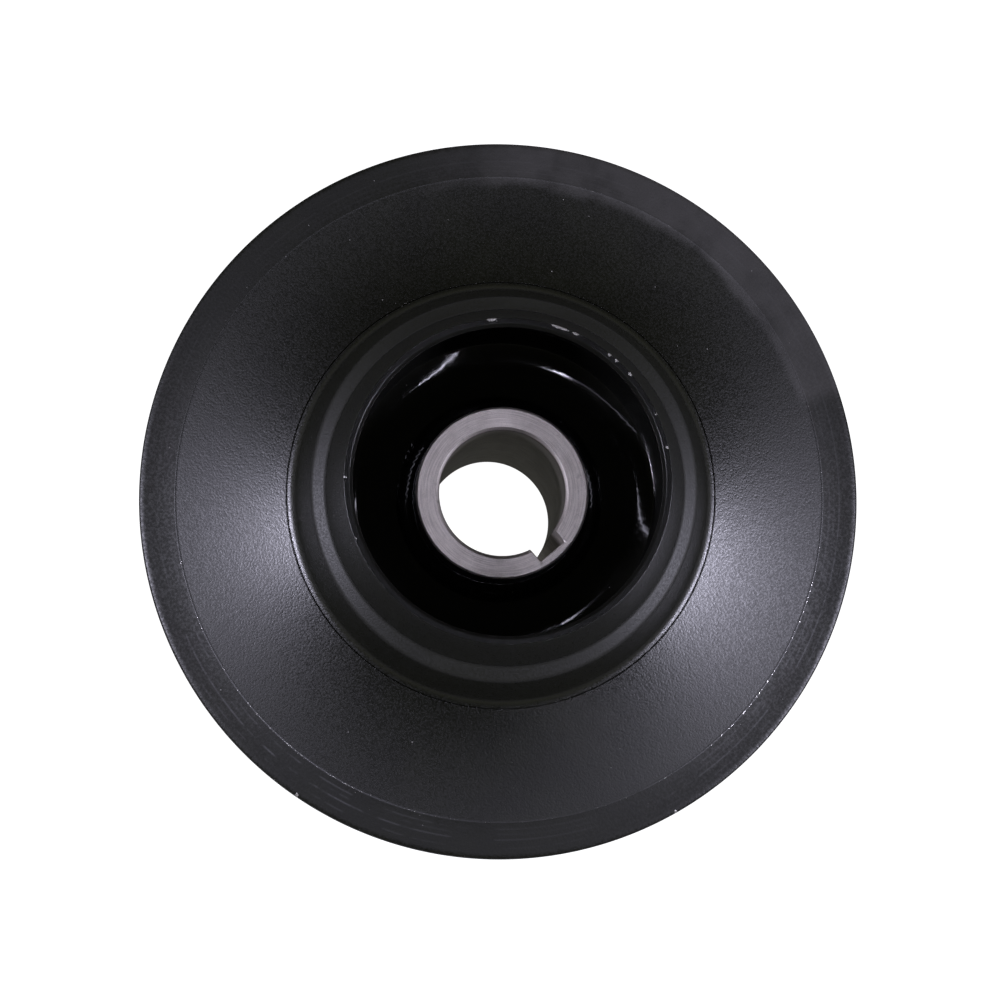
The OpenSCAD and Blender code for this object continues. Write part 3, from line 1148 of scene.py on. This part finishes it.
FLOOR_RADIUS = 4.0
FLOOR_SIDES = 96
FLOOR_DROP = 0.0003
FLOOR_GREY = (0.12, 0.12, 0.12, 1)
# What the floor gives off: to the part, to the camera, and how strongly
FLOOR_TO_PART = (0.08, 0.08, 0.075, 1)
FLOOR_TO_CAMERA = (1, 1, 1, 1)
FLOOR_STRENGTH = 1.04


def make_floor():
    """A floor that shows white from above and is clear from below."""
    work = bmesh.new()
    bmesh.ops.create_circle(work, cap_ends=True, radius=FLOOR_RADIUS, segments=FLOOR_SIDES)
    floor = finish_mesh("floor", work, [])
    material, g, shader = new_material("pale floor")
    shader.inputs["Base Color"].default_value = FLOOR_GREY
    shader.inputs["Roughness"].default_value = 0.9
    shader.inputs["Specular IOR Level"].default_value = 0.1
    seen = g.node("ShaderNodeLightPath").outputs["Is Camera Ray"]
    g.feed(shader.inputs["Emission Color"], g.mix(seen, FLOOR_TO_PART, FLOOR_TO_CAMERA))
    shader.inputs["Emission Strength"].default_value = FLOOR_STRENGTH
    clear = g.node("ShaderNodeBsdfTransparent")
    behind = g.node("ShaderNodeNewGeometry").outputs["Backfacing"]
    sides = g.node("ShaderNodeMixShader", {0: behind, 1: shader.outputs[0],
                                           2: clear.outputs[0]})
    output = next(n for n in material.node_tree.nodes if n.type == "OUTPUT_MATERIAL")
    g.feed(output.inputs["Surface"], sides.outputs[0])
    floor.data.materials.append(material)
    floor.location.z = -FLOOR_DROP


# The camera's right-hand side lies this far round the part from +X
VIEW_TURN = 49.5
AIM = Vector((0, 0, RIM_Z * MM))


def seen_from(off_axis, round_view):
    """Direction that is off_axis degrees from +Z, and round_view degrees round from the
    camera's right-hand side."""
    a = round_view + VIEW_TURN
    return Vector((sin(off_axis) * cos(a), sin(off_axis) * sin(a), cos(off_axis)))


def area_light(name, position, width, length, along, radiance, colour):
    """A lamp of that radiance, facing the part, its length along a direction."""
    data = bpy.data.lights.new(name, "AREA")
    data.shape = "RECTANGLE"
    data.size, data.size_y = width, length
    data.energy = radiance * width * length * math.pi
    data.color = colour
    light = bpy.data.objects.new(name, data)
    bpy.context.scene.collection.objects.link(light)
    back = (position - AIM).normalized()
    up = (along - back * along.dot(back)).normalized()
    right = up.cross(back)
    light.matrix_world = matrix_from(right, up, back, position)
    light.visible_camera = False


def matrix_from(right, up, back, position):
    return Matrix(((right[0], up[0], back[0], position[0]),
                   (right[1], up[1], back[1], position[1]),
                   (right[2], up[2], back[2], position[2]),
                   (0, 0, 0, 1)))


LAMP_COLOUR = (0.83, 0.815, 1.0)
# Soft boxes, their length across the view: name, degrees off axis and round the view, length in
# metres and radiance
SOFT_BOXES = (("left soft box", 49.5, 185, 0.23, 215), ("right soft box", 50.5, -16, 0.38, 150))
SOFT_BOX_DISTANCE = 0.8
SOFT_BOX_W = 0.05
# Thin tubes that the glossy cup mirrors: both ends as degrees (off axis, round the view), then
# the width in metres and the radiance
TUBES = (
    ((11, -25), (42, -67), 0.006, 40),
    ((7, 250), (13, 240), 0.009, 70),
    ((13, 240), (42, 200), 0.006, 5),
    ((9, 146), (45, 158), 0.005, 16),
    ((14, 100), (19, 102), 0.006, 36),
    ((24, 14), (31, 19), 0.006, 30),
)
TUBE_DISTANCE = 0.9
# The sky's levels from the horizon to overhead, and the share of blue in them
SKY = ((0.0, 0.42), (0.2, 0.26), (0.45, 0.15), (0.7, 0.02), (1.0, 0.01))
SKY_BLUE = 0.75


def make_lights():
    for name, off_axis, round_view, length, radiance in SOFT_BOXES:
        position = AIM + seen_from(off_axis, round_view) * SOFT_BOX_DISTANCE
        area_light(name, position, SOFT_BOX_W, length, seen_from(90, 90), radiance,
                   LAMP_COLOUR)
    for number, (start, end, width, radiance) in enumerate(TUBES):
        a = AIM + seen_from(*start) * TUBE_DISTANCE
        b = AIM + seen_from(*end) * TUBE_DISTANCE
        area_light(f"tube {number + 1}", (a + b) / 2, width, (b - a).length, b - a, radiance,
                   LAMP_COLOUR)


def make_sky():
    world = bpy.data.worlds.new("studio")
    bpy.context.scene.world = world
    world.use_nodes = True
    world.node_tree.nodes.clear()
    g = Graph(world.node_tree)
    up = g.node("ShaderNodeSeparateXYZ",
                {"Vector": g.node("ShaderNodeTexCoord").outputs["Generated"]}).outputs["Z"]
    ramp = g.node("ShaderNodeValToRGB", {"Fac": up})
    elements = ramp.color_ramp.elements
    while len(elements) < len(SKY):
        elements.new(0.5)
    for element, (at, level) in zip(elements, SKY):
        element.position = at
        element.color = (level, level, level * SKY_BLUE, 1)
    background = g.node("ShaderNodeBackground", {"Color": ramp.outputs["Color"],
                                                 "Strength": 1.0})
    output = g.node("ShaderNodeOutputWorld")
    g.feed(output.inputs["Surface"], background.outputs[0])


# The camera: degrees off axis and round the view, metres from the aim, and a small sidestep
CAMERA_OFF_AXIS = 6.3
CAMERA_ROUND = 243
CAMERA_DISTANCE = 1.75
CAMERA_SIDESTEP = 0.00028
CAMERA_SENSOR = 36
CAMERA_LENS = 310


def make_camera():
    data = bpy.data.cameras.new("camera")
    data.sensor_width = CAMERA_SENSOR
    data.lens = CAMERA_LENS
    data.clip_start, data.clip_end = 0.05, 20
    camera = bpy.data.objects.new("camera", data)
    bpy.context.scene.collection.objects.link(camera)
    bpy.context.scene.camera = camera
    back = seen_from(CAMERA_OFF_AXIS, CAMERA_ROUND)
    right = seen_from(90, 0)
    right = (right - back * right.dot(back)).normalized()
    up = back.cross(right)
    position = AIM + back * CAMERA_DISTANCE + right * CAMERA_SIDESTEP
    camera.matrix_world = matrix_from(right, up, back, position)


make_floor()
make_lights()
make_sky()
make_camera()
bpy.context.scene.view_settings.view_transform = "Standard"
